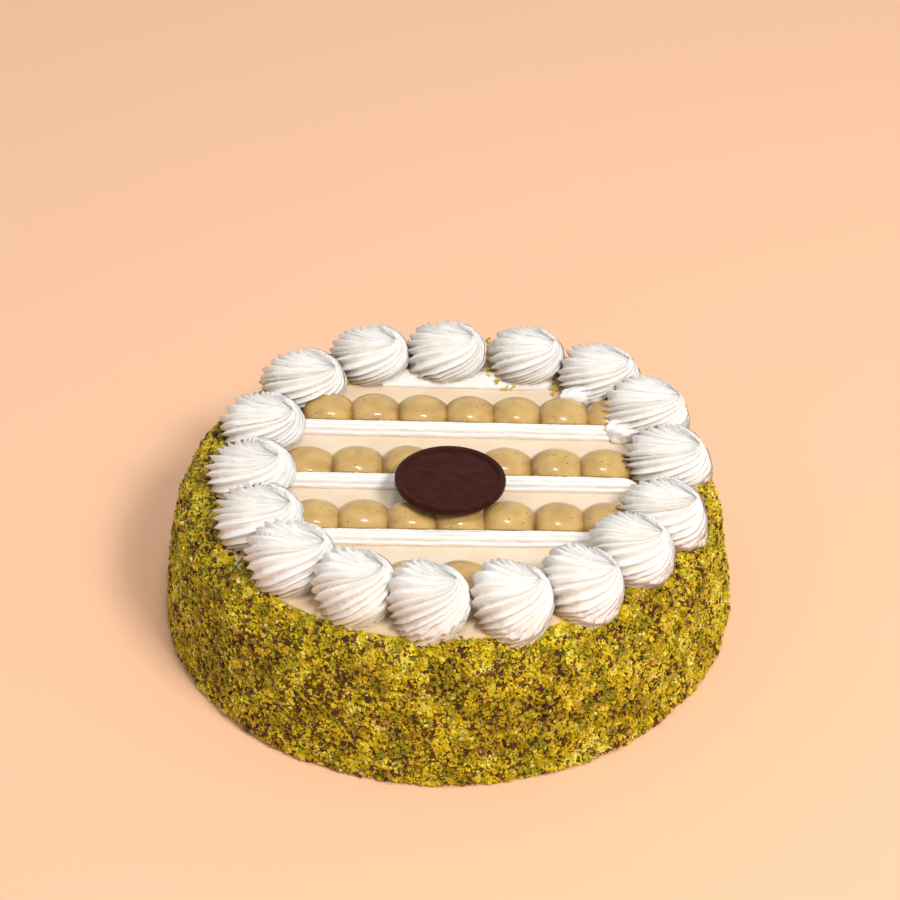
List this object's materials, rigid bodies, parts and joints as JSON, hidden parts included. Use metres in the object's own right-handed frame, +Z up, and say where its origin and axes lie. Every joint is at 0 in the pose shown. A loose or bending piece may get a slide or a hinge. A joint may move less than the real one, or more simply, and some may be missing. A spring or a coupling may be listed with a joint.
{
  "type": "pistachio cream cake",
  "caption": "Whole round layer cake coated in chopped pistachio, with a ring of piped cream rosettes, rows of nut-cream domes and a plain chocolate medallion.",
  "frame": {"origin": "middle of the cake's flat underside", "axes": "+Z up through the cake, -Y towards the viewer of the picture, +X to the viewer's right, along the rows of domes"},
  "size_m": [0.242, 0.242, 0.0842],
  "materials": {
    "pistachio_coat": "matte chopped pistachio crumbs, yellow-green with brown skins",
    "layer_cream": "smooth satin cream, pale ivory",
    "whipped_cream": "soft satin whipped cream, white",
    "nut_cream": "glossy nut cream, tan with fine dark specks",
    "dark_chocolate": "semi-matte moulded dark chocolate"
  },
  "bodies": {
    "root": {"cake_body": "pistachio_coat", "cream_top": "layer_cream", "rosette_01": "whipped_cream", "rosette_02": "whipped_cream", "rosette_03": "whipped_cream", "rosette_04": "whipped_cream", "rosette_05": "whipped_cream", "rosette_06": "whipped_cream", "rosette_07": "whipped_cream", "rosette_08": "whipped_cream", "rosette_09": "whipped_cream", "rosette_10": "whipped_cream", "rosette_11": "whipped_cream", "rosette_12": "whipped_cream", "rosette_13": "whipped_cream", "rosette_14": "whipped_cream", "rosette_15": "whipped_cream", "rosette_16": "whipped_cream", "rosette_17": "whipped_cream", "cream_stripe_1": "whipped_cream", "cream_stripe_2": "whipped_cream", "cream_stripe_3": "whipped_cream", "cream_stripe_4": "whipped_cream", "nut_dome_1_1": "nut_cream", "nut_dome_1_2": "nut_cream", "nut_dome_1_3": "nut_cream", "nut_dome_1_4": "nut_cream", "nut_dome_1_5": "nut_cream", "nut_dome_1_6": "nut_cream", "nut_dome_1_7": "nut_cream", "nut_dome_2_1": "nut_cream", "nut_dome_2_2": "nut_cream", "nut_dome_2_3": "nut_cream", "nut_dome_2_4": "nut_cream", "nut_dome_2_5": "nut_cream", "nut_dome_2_6": "nut_cream", "nut_dome_2_7": "nut_cream", "nut_dome_3_1": "nut_cream", "nut_dome_3_2": "nut_cream", "nut_dome_3_3": "nut_cream", "nut_dome_3_4": "nut_cream", "nut_dome_3_5": "nut_cream", "nut_dome_3_6": "nut_cream", "nut_dome_3_7": "nut_cream", "nut_dome_4_1": "nut_cream", "nut_dome_4_2": "nut_cream", "nut_dome_4_3": "nut_cream", "nut_dome_4_4": "nut_cream", "nut_dome_4_5": "nut_cream", "chocolate_medallion": "dark_chocolate"}
  },
  "joints": []
}
